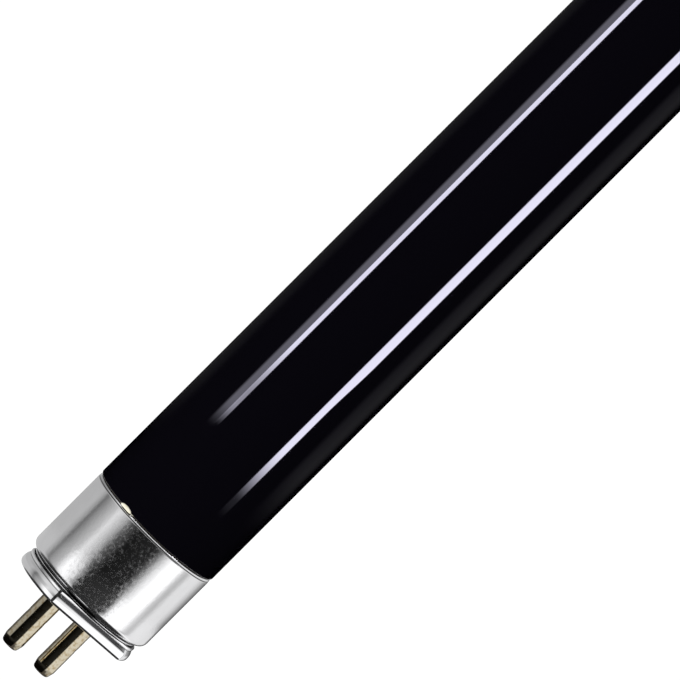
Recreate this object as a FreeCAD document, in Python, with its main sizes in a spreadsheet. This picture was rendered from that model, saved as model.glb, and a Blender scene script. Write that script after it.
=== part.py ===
# A miniature black light fluorescent lamp with a two-pin cap on each end, in millimetres.
#
# The lamp's axis is X, with the origin at its middle and +Z up. Each cap is drawn in a frame of its
# own: the cap's end face is at X = 0, the pins stand out towards -X and the tube lies towards +X.
# A placement then carries the cap to the lamp's left end, or turned about Z to its right end.
# The pins of a cap lie above one another, and the two flats of the cap face along Y.
import FreeCAD, Part

import math
import os

import Sketcher

# Sizes that a drawing of the lamp would state. Angles are in degrees.
SIZES = {
    # The lamp over its two end faces, without the pins.
    "face_to_face": 288.3,
    "tube_diameter": 16.0,
    # The tube's neck inside the cap, the shoulder beside the rim and the closed end.
    "neck_depth": 0.7,
    "shoulder_radius": 0.25,
    "neck_start": 4.2,
    "neck_end_radius": 1.6,
    "mouth_radius": 0.7,
    "flare_angle": 52.0,
    "stem_bore": 6.0,
    "pinch_depth": 14.0,
    "exhaust_diameter": 2.2,
    "exhaust_tip": 5.8,
    # The drawn shell: skirt, rim lip, rolled corner, groove with its bead, and end portion,
    # whose back slopes down to the groove.
    "sheet": 0.35,
    "skirt_step": 0.1,
    "cap_length": 12.5,
    "joint_gap": 0.1,
    "lip_width": 0.22,
    "lip_drop": 0.05,
    "crease_width": 0.14,
    "crease_depth": 0.07,
    "corner_radius": 1.25,
    "groove_depth": 0.8,
    "groove_width": 0.45,
    "bead_offset": 0.1,
    "bead_width": 0.26,
    "bead_radius": 0.15,
    "end_step": 0.3,
    "end_thickness": 1.8,
    "end_edge_radius": 0.6,
    "slope_start": 0.65,
    "slope_drop": 0.42,
    "flat_depth": 2.1,
    "flat_corner_radius": 0.7,
    "opening_inset": 1.35,
    "opening_corner_radius": 0.35,
    # The moulded plate that carries the pins.
    "plate_clearance": 0.04,
    "plate_back": 2.7,
    "plate_recess": 0.08,
    # The hollow contact pins.
    "pin_spacing": 4.75,
    "pin_diameter": 2.36,
    "pin_length": 7.1,
    "pin_bore": 1.4,
    "shank_diameter": 2.0,
    "shank_clearance": 0.02,
    "tip_taper": 0.9,
    "tip_diameter": 1.9,
    "tip_round": 0.3,
    "tip_wall": 0.5,
    "crimp_from_face": 2.9,
    "crimp_width": 0.44,
    "crimp_radius": 0.5,
    "collar_diameter": 3.6,
    "collar_thickness": 0.45,
    "pin_tail": 0.8,
    # The lead wires from the pinch to the pins' tips.
    "lead_diameter": 0.4,
    "lead_clearance": 0.02,
    "lead_spacing": 4.0,
    "lead_bend": 6.0,
    # The cement between neck and skirt, and the drop of it at the left rim.
    "cement_start": 6.0,
    "cement_rise": 0.12,
    "drop_turn": 37.0,
    "drop_length": 0.36,
    "drop_height": 0.38,
    "drop_width": 0.95,
    "drop_sink": 0.25,
    "drop_lead": 0.1,
}

doc = FreeCAD.newDocument("black_light_lamp")
sheet = doc.addObject("Spreadsheet::Sheet", "sizes")
for row, (alias, number) in enumerate(SIZES.items(), start=1):
    sheet.set(f"A{row}", alias)
    sheet.set(f"B{row}", str(number))
    sheet.setAlias(f"B{row}", alias)
doc.recompute()

# Sizes that follow from the sheet's, as expressions for it to work out.
TUBE = "(sizes.tube_diameter / 2)"
NECK = f"({TUBE} - sizes.neck_depth)"
SHELL = f"({TUBE} - sizes.skirt_step)"
GROOVE = f"({SHELL} - sizes.groove_depth)"
END = f"({SHELL} - sizes.end_step)"
FLAT = f"({END} - sizes.flat_depth)"
PIN = "(sizes.pin_diameter / 2)"
SHANK = "(sizes.shank_diameter / 2)"
JOINT = "(sizes.cap_length + sizes.joint_gap)"
CORNER_FOOT = "(sizes.end_thickness + sizes.groove_width)"
# How far the corner's arc runs along the skirt, from its foot in the groove to the straight.
CORNER_RUN = "sqrt(sizes.corner_radius ^ 2 - (sizes.corner_radius - sizes.groove_depth) ^ 2)"
CORNER_TOP = f"({CORNER_FOOT} + {CORNER_RUN})"
# Room beyond a face, so that a cut passes clean through it.
OVERRUN = "1.0"


def value(expression):
    """The number that an expression on the sheet's sizes comes to."""
    return float(sheet.evalExpression(expression))


def add_edges(sketch, corners, closed=True):
    """Draws lines and arcs through corners, each bound to the sheet.

    A corner is (across, up), or (across, up, radius, turn) where the edge to the next corner is an
    arc. A turn of 1 goes round its centre anticlockwise and a turn of -1 goes clockwise.
    """
    places = [FreeCAD.Vector(value(corner[0]), value(corner[1]), 0) for corner in corners]
    count = len(corners) if closed else len(corners) - 1
    ends = []
    for number in range(count):
        here = places[number]
        there = places[(number + 1) % len(places)]
        if len(corners[number]) == 2:
            edge = sketch.addGeometry(Part.LineSegment(here, there))
            ends.append((edge, 1, 2))
            continue
        radius_expression, turn = corners[number][2:]
        radius = value(radius_expression)
        chord = there - here
        across = FreeCAD.Vector(-chord.y, chord.x, 0).normalize()
        reach = math.sqrt(max(radius ** 2 - (chord.Length / 2) ** 2, 0))
        centre = (here + there) / 2 + across * reach * turn
        first, last = (here, there) if turn > 0 else (there, here)
        angles = [math.atan2(point.y - centre.y, point.x - centre.x) for point in (first, last)]
        circle = Part.Circle(centre, FreeCAD.Vector(0, 0, 1), radius)
        edge = sketch.addGeometry(Part.ArcOfCircle(circle, *angles))
        name = f"radius_{edge}"
        index = sketch.addConstraint(Sketcher.Constraint("Radius", edge, radius))
        sketch.renameConstraint(index, name)
        sketch.setExpression(f"Constraints.{name}", radius_expression)
        ends.append((edge, 1, 2) if turn > 0 else (edge, 2, 1))
    for number in range(count):
        edge, start, finish = ends[number]
        if closed or number < count - 1:
            following, following_start, _ = ends[(number + 1) % count]
            joined = Sketcher.Constraint("Coincident", edge, finish, following, following_start)
            sketch.addConstraint(joined)
        bind_point(sketch, edge, start, corners[number])
    if not closed:
        bind_point(sketch, ends[-1][0], ends[-1][2], corners[-1])


def bind_point(sketch, edge, end, corner):
    """Holds one end of an edge at its corner, on an axis of the sketch or at bound distances."""
    for kind, axis, expression in (("DistanceX", -2, corner[0]), ("DistanceY", -1, corner[1])):
        if expression == "0":
            sketch.addConstraint(Sketcher.Constraint("PointOnObject", edge, end, axis))
            continue
        held = Sketcher.Constraint(kind, -1, 1, edge, end, value(expression))
        index = sketch.addConstraint(held)
        name = f"{kind.lower()}_{edge}_{end}"
        sketch.renameConstraint(index, name)
        sketch.setExpression(f"Constraints.{name}", expression)


def add_circle(sketch, name, up, radius):
    """Draws a circle on the sketch's upright axis, its height and radius bound to the sheet."""
    centre = FreeCAD.Vector(0, value(up), 0)
    edge = sketch.addGeometry(Part.Circle(centre, FreeCAD.Vector(0, 0, 1), value(radius)))
    index = sketch.addConstraint(Sketcher.Constraint("Radius", edge, value(radius)))
    sketch.renameConstraint(index, name)
    sketch.setExpression(f"Constraints.{name}", radius)
    bind_point(sketch, edge, 3, ("0", up))


def new_sketch(body, name, plane, offset=None):
    """A sketch on one of its body's origin planes, moved along that plane's normal."""
    sketch = body.newObject("Sketcher::SketchObject", name)
    support = [feature for feature in body.Origin.OriginFeatures if feature.Role == plane][0]
    sketch.AttachmentSupport = (support, "")
    sketch.MapMode = "FlatFace"
    if offset is not None:
        sketch.AttachmentOffset = FreeCAD.Placement(
            FreeCAD.Vector(0, 0, value(offset)), FreeCAD.Rotation()
        )
        sketch.setExpression("AttachmentOffset.Base.z", offset)
    return sketch


def new_body(name):
    return doc.addObject("PartDesign::Body", name)


def revolved(body, name, corners):
    """A solid of revolution about X, from an outline drawn above the axis."""
    sketch = new_sketch(body, f"{name}_outline", "XY_Plane")
    add_edges(sketch, corners)
    feature = body.newObject("PartDesign::Revolution", name)
    feature.Profile = (sketch, [""])
    feature.ReferenceAxis = (sketch, ["H_Axis"])
    feature.Angle = 360
    doc.recompute()
    return feature


def back_slope_corners(out, way=""):
    """A wedge that starts behind the front edge at a surface and grows deeper towards the groove."""
    slope = "(sizes.slope_drop / (sizes.end_thickness - sizes.slope_start))"
    front = f"(sizes.slope_start - {OVERRUN})"
    back = f"(sizes.end_thickness + {OVERRUN})"
    top = f"({out} + {slope} * {OVERRUN})"
    bottom = f"({out} - sizes.slope_drop - {slope} * {OVERRUN})"
    return [(front, f"{way}{top}"), (back, f"{way}{bottom}"), (back, f"{way}{top}")]


def sloped_back(body, base):
    """Slopes the back of the end portion down to the groove, all round and on both flats."""
    round_outline = new_sketch(body, "round_slope_outline", "XY_Plane")
    add_edges(round_outline, back_slope_corners(END))
    round_slope = body.newObject("PartDesign::Groove", "round_slope")
    round_slope.Profile = (round_outline, [""])
    round_slope.ReferenceAxis = (round_outline, ["H_Axis"])
    round_slope.Angle = 360
    doc.recompute()
    flat_outline = new_sketch(body, "flat_slope_outline", "XY_Plane")
    add_edges(flat_outline, back_slope_corners(FLAT))
    add_edges(flat_outline, back_slope_corners(FLAT, "-"))
    flat_slope = body.newObject("PartDesign::Pocket", "flat_slope")
    flat_slope.Profile = (flat_outline, [""])
    flat_slope.Type = "ThroughAll"
    flat_slope.Midplane = True
    doc.recompute()
    if not base.Shape.Volume > round_slope.Shape.Volume > flat_slope.Shape.Volume:
        raise RuntimeError("a slope cut nothing")


def flatted_corners(radius, half_flats, corner):
    """The outline of a disc with two flats, which face along Y, its corners rounded or sharp."""
    if corner is None:
        rise = f"sqrt({radius} ^ 2 - {half_flats} ^ 2)"
        return [
            (half_flats, f"-{rise}"),
            (half_flats, rise, radius, 1),
            (f"-{half_flats}", rise),
            (f"-{half_flats}", f"-{rise}", radius, 1),
        ]
    centre_across = f"({half_flats} - {corner})"
    centre_up = f"sqrt(({radius} - {corner}) ^ 2 - {centre_across} ^ 2)"
    reach = f"{radius} / ({radius} - {corner})"
    arc_across = f"({centre_across} * {reach})"
    arc_up = f"({centre_up} * {reach})"
    return [
        (half_flats, f"-{centre_up}"),
        (half_flats, centre_up, corner, 1),
        (arc_across, arc_up, radius, 1),
        (f"-{arc_across}", arc_up, corner, 1),
        (f"-{half_flats}", centre_up),
        (f"-{half_flats}", f"-{centre_up}", corner, 1),
        (f"-{arc_across}", f"-{arc_up}", radius, 1),
        (arc_across, f"-{arc_up}", corner, 1),
    ]


def flatted_pad(body, name, radius, half_flats, corner, start, end):
    """A flatted disc from one place along X to another."""
    sketch = new_sketch(body, f"{name}_outline", "YZ_Plane", start)
    add_edges(sketch, flatted_corners(radius, half_flats, corner))
    feature = body.newObject("PartDesign::Pad", name)
    feature.Profile = (sketch, [""])
    feature.Length = value(f"{end} - ({start})")
    feature.setExpression("Length", f"{end} - ({start})")
    doc.recompute()
    return feature


def edges_at(shape, place):
    """The names of the edges that lie in the plane X = place."""
    names = []
    for number, edge in enumerate(shape.Edges, start=1):
        box = edge.BoundBox
        if abs(box.XMin - place) < 1e-4 and abs(box.XMax - place) < 1e-4:
            names.append(f"Edge{number}")
    return names


def rounded(body, name, base, names, radius):
    """A fillet on some edges of the body's last feature."""
    feature = body.newObject("PartDesign::Fillet", name)
    feature.Base = (base, names)
    feature.Radius = value(radius)
    feature.setExpression("Radius", radius)
    doc.recompute()
    return feature


def glass_tube():
    """The sealed tube: one end is drawn to the lamp's middle, then mirrored."""
    half = "sizes.face_to_face / 2"
    bend = "sizes.flare_angle * 1 deg"
    mouth_across = f"sizes.neck_start + sizes.mouth_radius * (1 - sin({bend}))"
    mouth_up = f"({NECK} - sizes.neck_end_radius - sizes.mouth_radius * cos({bend}))"
    flare_radius = f"(({mouth_up} - sizes.stem_bore / 2) / (1 - cos({bend})))"
    outline = [
        ("0", "0"),
        ("0", TUBE),
        (f"{JOINT} + sizes.shoulder_radius - {half}", TUBE, "sizes.shoulder_radius", 1),
        (f"{JOINT} - {half}", f"{TUBE} - sizes.shoulder_radius"),
        (f"{JOINT} - {half}", NECK),
        (f"sizes.neck_start + sizes.neck_end_radius - {half}", NECK, "sizes.neck_end_radius", 1),
        (f"sizes.neck_start - {half}", f"{NECK} - sizes.neck_end_radius", "sizes.mouth_radius", 1),
        (f"{mouth_across} - {half}", mouth_up, flare_radius, 1),
        (f"{mouth_across} + {flare_radius} * sin({bend}) - {half}", "sizes.stem_bore / 2"),
        (f"sizes.pinch_depth - {half}", "sizes.stem_bore / 2"),
        (f"sizes.pinch_depth - {half}", "sizes.exhaust_diameter / 2"),
        (
            f"sizes.exhaust_tip + sizes.exhaust_diameter / 2 - {half}",
            "sizes.exhaust_diameter / 2",
            "sizes.exhaust_diameter / 2",
            1,
        ),
        (f"sizes.exhaust_tip - {half}", "0"),
    ]
    body = new_body("glass_tube")
    one_half = revolved(body, "half_tube", outline)
    mirrored = body.newObject("PartDesign::Mirrored", "whole_tube")
    mirrored.Originals = [one_half]
    middle = [feature for feature in body.Origin.OriginFeatures if feature.Role == "YZ_Plane"][0]
    mirrored.MirrorPlane = (middle, [""])
    body.Tip = mirrored
    doc.recompute()
    return body


def shell_outside(side):
    """The outer form of the drawn shell, as a full solid."""
    body = new_body(f"{side}_shell_outside")
    corner = "sizes.flat_corner_radius"
    end = flatted_pad(body, "end_portion", END, FLAT, corner, "0", "sizes.end_thickness")
    front = rounded(body, "end_edge", end, edges_at(end.Shape, 0), "sizes.end_edge_radius")
    sloped_back(body, front)
    bead = "(sizes.end_thickness + sizes.bead_offset)"
    lip = "(sizes.cap_length - sizes.lip_width)"
    outline = [
        ("sizes.end_thickness", "0"),
        ("sizes.cap_length", "0"),
        ("sizes.cap_length", f"{SHELL} - sizes.lip_drop", "sizes.lip_width", 1),
        (lip, f"{SHELL} - sizes.crease_depth"),
        (f"{lip} - sizes.crease_width", SHELL),
        (CORNER_TOP, SHELL, "sizes.corner_radius", 1),
        (CORNER_FOOT, GROOVE),
        (f"{bead} + sizes.bead_width", GROOVE, "sizes.bead_radius", 1),
        (bead, GROOVE),
        ("sizes.end_thickness", GROOVE),
    ]
    revolved(body, "groove_and_skirt", outline)
    return body


def shell_inside(side):
    """The space inside the shell, one sheet's thickness within its outer form."""
    body = new_body(f"{side}_shell_inside")
    pocket_radius = f"({END} - sizes.slope_drop - sizes.sheet)"
    pocket_flat = f"({FLAT} - sizes.slope_drop - sizes.sheet)"
    corner = "(sizes.flat_corner_radius - sizes.sheet)"
    throat_radius = f"({GROOVE} - sizes.sheet)"
    pocket_end = "sizes.end_thickness - sizes.sheet"
    throat_end = "(sizes.end_thickness + sizes.sheet)"
    pocket = flatted_pad(
        body, "plate_pocket", pocket_radius, pocket_flat, corner, "sizes.sheet", pocket_end
    )
    front = edges_at(pocket.Shape, value("sizes.sheet"))
    rounded(body, "pocket_edge", pocket, front, "sizes.end_edge_radius - sizes.sheet")
    flatted_pad(body, "throat", throat_radius, pocket_flat, None, pocket_end, throat_end)
    arc_drop = "(sizes.corner_radius - sizes.groove_depth - sizes.sheet)"
    arc_radius = "(sizes.corner_radius - sizes.sheet)"
    arc_run = f"sqrt({arc_radius} ^ 2 - {arc_drop} ^ 2)"
    outline = [
        (throat_end, "0"),
        (f"sizes.cap_length + {OVERRUN}", "0"),
        (f"sizes.cap_length + {OVERRUN}", f"{SHELL} - sizes.sheet"),
        (CORNER_TOP, f"{SHELL} - sizes.sheet", arc_radius, 1),
        (f"{CORNER_TOP} - {arc_run}", throat_radius),
        (throat_end, throat_radius),
    ]
    revolved(body, "skirt_space", outline)
    opening_radius = f"({END} - sizes.opening_inset)"
    opening_flat = f"({FLAT} - sizes.opening_inset)"
    opening_corner = "sizes.opening_corner_radius"
    flatted_pad(
        body, "opening", opening_radius, opening_flat, opening_corner, f"-{OVERRUN}", "sizes.sheet"
    )
    return body


def cap_shell(side):
    """The drawn shell: its outer form less the space inside."""
    shell = doc.addObject("Part::Cut", f"{side}_cap_shell")
    shell.Base = shell_outside(side)
    shell.Tool = shell_inside(side)
    return shell


def insulating_plate(side):
    """The plate: a rim held in the shell's pocket, and a boss on each face of it."""
    body = new_body(f"{side}_insulating_plate")
    rim_radius = f"({END} - sizes.slope_drop - sizes.sheet - sizes.plate_clearance)"
    rim_flat = f"({FLAT} - sizes.slope_drop - sizes.sheet - sizes.plate_clearance)"
    rim_corner = "(sizes.flat_corner_radius - sizes.sheet - sizes.plate_clearance)"
    rim_end = "sizes.end_thickness - sizes.sheet"
    rim = flatted_pad(body, "rim", rim_radius, rim_flat, rim_corner, "sizes.sheet", rim_end)
    front = edges_at(rim.Shape, value("sizes.sheet"))
    rounded(body, "rim_edge", rim, front, "sizes.end_edge_radius - sizes.sheet")
    back_radius = f"({GROOVE} - sizes.sheet - sizes.plate_clearance)"
    flatted_pad(body, "back_boss", back_radius, rim_flat, rim_corner, rim_end, "sizes.plate_back")
    front_radius = f"({END} - sizes.opening_inset - sizes.plate_clearance)"
    front_flat = f"({FLAT} - sizes.opening_inset - sizes.plate_clearance)"
    front_corner = "(sizes.opening_corner_radius - sizes.plate_clearance)"
    boss = flatted_pad(
        body,
        "front_boss",
        front_radius,
        front_flat,
        front_corner,
        "sizes.plate_recess",
        "sizes.sheet",
    )
    solid_volume = boss.Shape.Volume
    holes = new_sketch(body, "pin_hole_circles", "YZ_Plane", f"-{OVERRUN}")
    hole_radius = f"{SHANK} + sizes.shank_clearance"
    add_circle(holes, "upper_radius", "sizes.pin_spacing / 2", hole_radius)
    add_circle(holes, "lower_radius", "-sizes.pin_spacing / 2", hole_radius)
    pocket = body.newObject("PartDesign::Pocket", "pin_holes")
    pocket.Profile = (holes, [""])
    pocket.Type = "ThroughAll"
    pocket.Reversed = True
    doc.recompute()
    if pocket.Shape.Volume >= solid_volume:
        raise RuntimeError("the pin holes cut nothing")
    return body


def contact_pin(side, level):
    """A hollow pin: tapered tip, crimp, shoulder on the plate, and a shank with a collar behind."""
    tip = "-sizes.pin_length"
    taper_end = f"{tip} + sizes.tip_taper"
    crimp_front = "-sizes.crimp_from_face - sizes.crimp_width / 2"
    crimp_back = "-sizes.crimp_from_face + sizes.crimp_width / 2"
    collar_end = "sizes.plate_back + sizes.collar_thickness"
    tail_end = f"{collar_end} + sizes.pin_tail"
    tip_radius = "(sizes.tip_diameter / 2)"
    lead_hole = "sizes.lead_diameter / 2 + sizes.lead_clearance"
    bore = "sizes.pin_bore / 2"
    outline = [
        (tip, lead_hole),
        (f"{tip} + sizes.tip_wall", lead_hole),
        (taper_end, bore),
        (tail_end, bore),
        (tail_end, SHANK),
        (collar_end, SHANK),
        (collar_end, "sizes.collar_diameter / 2"),
        ("sizes.plate_back", "sizes.collar_diameter / 2"),
        ("sizes.plate_back", SHANK),
        ("sizes.plate_recess", SHANK),
        ("sizes.plate_recess", PIN),
        (crimp_back, PIN, "sizes.crimp_radius", -1),
        (crimp_front, PIN),
        (taper_end, PIN),
        (f"{tip} + sizes.tip_round", tip_radius, "sizes.tip_round", 1),
        (tip, f"{tip_radius} - sizes.tip_round"),
    ]
    body = new_body(f"{side}_{level}_pin")
    revolved(body, "turned_pin", outline)
    return body


def lead_wire(side, level, sign):
    """A lead from the pinch to its pin's tip, with an even double bend where it steps out."""
    body = new_body(f"{side}_{level}_lead")
    pin_up = f"{sign}sizes.pin_spacing / 2"
    pinch_up = f"{sign}sizes.lead_spacing / 2"
    middle_up = f"{sign}(sizes.pin_spacing + sizes.lead_spacing) / 4"
    step = "((sizes.pin_spacing - sizes.lead_spacing) / 2)"
    bend_radius = f"(sizes.lead_bend ^ 2 + {step} ^ 2) / (4 * {step})"
    straight_end = "(sizes.plate_back + sizes.collar_thickness + sizes.pin_tail)"
    # The upper lead first bends down towards the axis, which is clockwise.
    first_turn = 1 if sign else -1
    path = new_sketch(body, "route", "XZ_Plane")
    route = [
        ("-sizes.pin_length", pin_up),
        (straight_end, pin_up, bend_radius, first_turn),
        (f"{straight_end} + sizes.lead_bend / 2", middle_up, bend_radius, -first_turn),
        (f"{straight_end} + sizes.lead_bend", pinch_up),
        ("sizes.pinch_depth", pinch_up),
    ]
    add_edges(path, route, closed=False)
    section = new_sketch(body, "section", "YZ_Plane", "-sizes.pin_length")
    add_circle(section, "wire_radius", pin_up, "sizes.lead_diameter / 2")
    wire = body.newObject("PartDesign::AdditivePipe", "wire")
    wire.Profile = (section, [""])
    wire.Spine = (path, [f"Edge{number}" for number in range(1, len(route))])
    doc.recompute()
    return body


def cement_ring(side):
    """The ring of cement between the neck and the skirt, up to the joint at the rim."""
    body = new_body(f"{side}_cement")
    outline = [
        ("sizes.cement_start", NECK),
        (JOINT, NECK),
        (JOINT, f"{SHELL} - sizes.sheet + sizes.cement_rise"),
        ("sizes.cap_length", f"{SHELL} - sizes.sheet + sizes.cement_rise"),
        ("sizes.cap_length", f"{SHELL} - sizes.sheet"),
        ("sizes.cement_start", f"{SHELL} - sizes.sheet"),
    ]
    revolved(body, "cement_fill", outline)
    return body


def cement_drop(glass, shell):
    """The drop of cement that squeezed out at the left rim, shaped by the glass and the lip."""
    drop = doc.addObject("Part::Ellipsoid", "drop_form")
    drop.setExpression("Radius1", "sizes.drop_height")
    drop.setExpression("Radius2", "sizes.drop_length")
    drop.setExpression("Radius3", "sizes.drop_width")
    turn = "sizes.drop_turn * 1 deg"
    reach = f"({TUBE} - sizes.drop_sink)"
    drop.Placement = FreeCAD.Placement(
        FreeCAD.Vector(0, 0, 0), FreeCAD.Rotation(FreeCAD.Vector(1, 0, 0), SIZES["drop_turn"])
    )
    drop.setExpression("Placement.Rotation.Angle", turn)
    drop.setExpression("Placement.Base.x", f"{JOINT} + sizes.drop_lead - sizes.face_to_face / 2")
    drop.setExpression("Placement.Base.y", f"-{reach} * sin({turn})")
    drop.setExpression("Placement.Base.z", f"{reach} * cos({turn})")
    above_glass = doc.addObject("Part::Cut", "drop_on_glass")
    above_glass.Base = drop
    above_glass.Tool = glass
    beside_lip = doc.addObject("Part::Cut", "drop_beside_lip")
    beside_lip.Base = above_glass
    beside_lip.Tool = shell
    return beside_lip


def place_at_end(piece, side, up="0"):
    """Carries a piece from its cap's frame to the left end, or turned about Z to the right."""
    right = side == "right"
    turn = FreeCAD.Rotation(FreeCAD.Vector(0, 0, 1), 180 if right else 0)
    piece.Placement = FreeCAD.Placement(FreeCAD.Vector(0, 0, 0), turn)
    along = "sizes.face_to_face / 2" if right else "-sizes.face_to_face / 2"
    piece.setExpression("Placement.Base.x", along)
    if up != "0":
        piece.setExpression("Placement.Base.z", up)


tube = glass_tube()
nodes = {"glass_tube": tube}
for side in ("left", "right"):
    shell = cap_shell(side)
    plate = insulating_plate(side)
    cement = cement_ring(side)
    for piece in (shell, plate, cement):
        place_at_end(piece, side)
    nodes[f"{side}_cap_shell"] = shell
    nodes[f"{side}_insulating_plate"] = plate
    if side == "left":
        doc.recompute()
        ring = doc.addObject("Part::Fuse", "cement_with_drop")
        ring.Base = cement
        ring.Tool = cement_drop(tube, shell)
        nodes["left_cement_ring"] = ring
    else:
        nodes["right_cement_ring"] = cement
    for level, sign in (("upper", ""), ("lower", "-")):
        pin = contact_pin(side, level)
        place_at_end(pin, side, f"{sign}sizes.pin_spacing / 2")
        lead = lead_wire(side, level, sign)
        place_at_end(lead, side)
        nodes[f"{side}_{level}_pin"] = pin
        nodes[f"{side}_{level}_lead"] = lead
doc.recompute()

for name, node in nodes.items():
    node.Label = name
doc.recompute()

for thing in doc.Objects:
    if "Invalid" in thing.State or "Error" in thing.State:
        raise RuntimeError(f"{thing.Name} failed: {thing.State}")
for sketch in doc.findObjects("Sketcher::SketchObject"):
    if sketch.solve() != 0:
        raise RuntimeError(f"{sketch.Name} is not solved")

os.makedirs("parts", exist_ok=True)
for name, node in nodes.items():
    shape = node.Shape
    if shape.isNull() or not shape.isValid() or len(shape.Solids) != 1:
        raise RuntimeError(f"{name} is not one valid solid")
    shape.exportStep(f"parts/{name}.step")
    box = shape.optimalBoundingBox()
    print(
        f"{name}: {shape.Volume:.2f} mm3, X {box.XMin:.2f} to {box.XMax:.2f}, "
        f"Y {box.YMin:.2f} to {box.YMax:.2f}, Z {box.ZMin:.2f} to {box.ZMax:.2f}"
    )
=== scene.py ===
# %% [markdown]
# # A miniature black light lamp
#
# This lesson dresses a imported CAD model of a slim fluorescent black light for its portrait. The
# lamp is a sealed tube of nearly black filter glass. Each end has a drawn aluminium cap, and two
# brass contact pins stand out of every cap.
#
# The CAD model fixes every place and size. What Blender adds is what the eye reads as real: smooth
# turned forms, a rim lip, rolled edges, satin metal, glossy glass and the lamps that it mirrors.
# Lengths in the drawing cells are in millimetres, as on a workshop drawing, and each finished mesh
# is brought to metres, the unit of the frame.

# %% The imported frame
import math

import bmesh
import bpy
from mathutils import Matrix, Vector


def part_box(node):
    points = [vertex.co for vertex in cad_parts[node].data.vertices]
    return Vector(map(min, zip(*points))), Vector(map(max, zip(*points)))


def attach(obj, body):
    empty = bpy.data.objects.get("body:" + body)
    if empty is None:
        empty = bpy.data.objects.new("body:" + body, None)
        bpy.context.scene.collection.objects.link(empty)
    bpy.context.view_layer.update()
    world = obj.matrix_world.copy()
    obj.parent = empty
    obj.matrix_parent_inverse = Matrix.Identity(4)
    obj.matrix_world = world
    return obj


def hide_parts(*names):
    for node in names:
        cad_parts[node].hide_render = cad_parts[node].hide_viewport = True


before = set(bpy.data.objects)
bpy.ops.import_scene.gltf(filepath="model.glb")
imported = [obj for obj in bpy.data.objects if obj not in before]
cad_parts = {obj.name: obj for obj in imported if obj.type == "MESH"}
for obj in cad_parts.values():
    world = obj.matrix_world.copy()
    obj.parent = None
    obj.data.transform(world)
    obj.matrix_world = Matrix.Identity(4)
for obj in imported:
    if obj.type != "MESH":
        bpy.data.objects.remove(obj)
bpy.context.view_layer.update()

MM = 0.001
# The distance from the lamp's middle to the end face of a cap.
END_FACE = -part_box("left_cap_shell")[0].x / MM
TUBE_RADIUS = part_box("glass_tube")[1].z / MM
PIN_TIP = -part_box("left_upper_pin")[0].x / MM - END_FACE
print(f"end face at {END_FACE:.2f} mm from the middle, tube radius {TUBE_RADIUS:.2f} mm")
print(f"pins stand {PIN_TIP:.2f} mm out of the end face")

# %% [markdown]
# ## The camera
#
# The photograph looks down on one end of the lamp from far away with a long lens, so that parallel
# edges stay parallel, and the lamp lies on the picture's diagonal. The camera could be turned by
# hand until it looks right. Working from directions is surer: the view's own direction first, then
# the lamp's direction as the picture sees it, and the picture's right and up from both, half way
# between along the lamp and across it.

# %% Camera
VIEW_AZIMUTH = math.radians(8.45)
VIEW_ELEVATION = math.radians(26.7)
VIEW_DISTANCE = 2.5
VIEW_TARGET = Vector((-0.1043, 0.0, 0.0))
# How far the camera aims beside the lamp's axis.
VIEW_RISE = 0.00017
# The width of what the square picture takes in at the lamp.
PICTURE_WIDTH = 0.0704
SENSOR = 36.0
CLIP_END = 30.0

towards_camera = Vector(
    (
        math.sin(VIEW_AZIMUTH) * math.cos(VIEW_ELEVATION),
        -math.cos(VIEW_AZIMUTH) * math.cos(VIEW_ELEVATION),
        math.sin(VIEW_ELEVATION),
    )
)
lamp_axis = Vector((1.0, 0.0, 0.0))
seen_along = (lamp_axis - towards_camera * lamp_axis.dot(towards_camera)).normalized()
seen_across = towards_camera.cross(seen_along)
picture_right = (seen_along - seen_across).normalized()
picture_up = (seen_along + seen_across).normalized()

camera_data = bpy.data.cameras.new("camera")
camera_data.sensor_width = SENSOR
camera_data.lens = SENSOR * VIEW_DISTANCE / PICTURE_WIDTH
camera_data.clip_end = CLIP_END
camera = bpy.data.objects.new("camera", camera_data)
camera_turn = Matrix((picture_right, picture_up, towards_camera)).transposed().to_4x4()
camera_place = VIEW_TARGET + seen_across * VIEW_RISE + towards_camera * VIEW_DISTANCE
camera.matrix_world = Matrix.Translation(camera_place) @ camera_turn
bpy.context.scene.collection.objects.link(camera)
bpy.context.scene.camera = camera
print(f"lens {camera_data.lens:.0f} mm at {VIEW_DISTANCE} m")

# %% [markdown]
# ## Shader maths as Python
#
# A material is a network of nodes, and its arithmetic soon fills the screen with Math nodes. One
# small class wraps a socket, so that Python's own operators add those nodes. A second class holds
# a material's tree and adds any other node in one way: type, settings, then sockets.


# %% Shader helpers
class Signal:
    """A socket's output that Python's operators work on, each adding a Math node."""

    def __init__(self, finish, socket):
        self.finish = finish
        self.socket = socket

    def maths(self, operation, *others):
        given = dict(enumerate((self, *others)))
        return self.finish.node("ShaderNodeMath", {"operation": operation}, given)

    def output(self, name):
        return Signal(self.finish, self.socket.node.outputs[name])

    def __add__(self, other):
        return self.maths("ADD", other)

    def __radd__(self, other):
        return self.maths("ADD", other)

    def __sub__(self, other):
        return self.maths("SUBTRACT", other)

    def __rsub__(self, other):
        return (self * -1.0) + other

    def __mul__(self, other):
        return self.maths("MULTIPLY", other)

    def __rmul__(self, other):
        return self.maths("MULTIPLY", other)

    def __truediv__(self, other):
        return self.maths("DIVIDE", other)

    def __neg__(self):
        return self * -1.0

    def __abs__(self):
        return self.maths("ABSOLUTE")


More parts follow.
